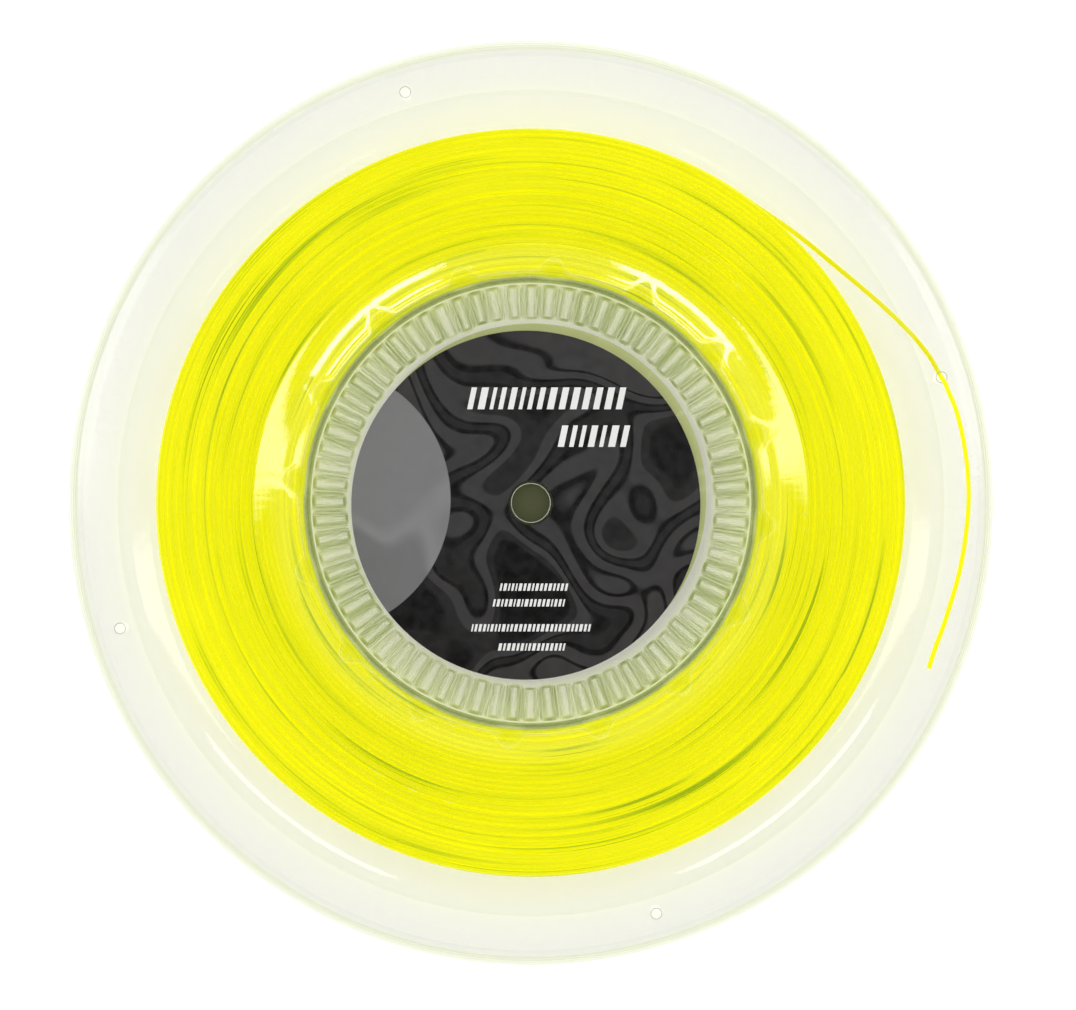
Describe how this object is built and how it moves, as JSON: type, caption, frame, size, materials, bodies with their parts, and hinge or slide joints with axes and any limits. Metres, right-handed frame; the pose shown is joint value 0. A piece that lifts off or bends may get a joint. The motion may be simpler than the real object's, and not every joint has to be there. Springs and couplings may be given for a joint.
{
  "type": "racket string reel",
  "caption": "Clear plastic spool of two nested half shells, wound with bright yellow racket string whose free end is threaded out through a lip hole.",
  "frame": {"origin": "on the reel's axis, in the plane of the rear lip that it lies on", "axes": "+Z along the reel's axis towards the front label; +Y towards the top of the front label's print; +X to its right"},
  "size_m": [0.2398, 0.2398, 0.0289],
  "materials": {
    "clear_plastic": "clear thermoformed sheet, glossy on both faces",
    "label": "gloss laminated print, black with dark grey shapes",
    "string": "smooth fluorescent yellow monofilament"
  },
  "bodies": {
    "root": {"front_half": "clear_plastic", "rear_half": "clear_plastic", "front_label": "label", "rear_label": "label", "string_winding": "string", "string_tail": "string"}
  },
  "joints": []
}
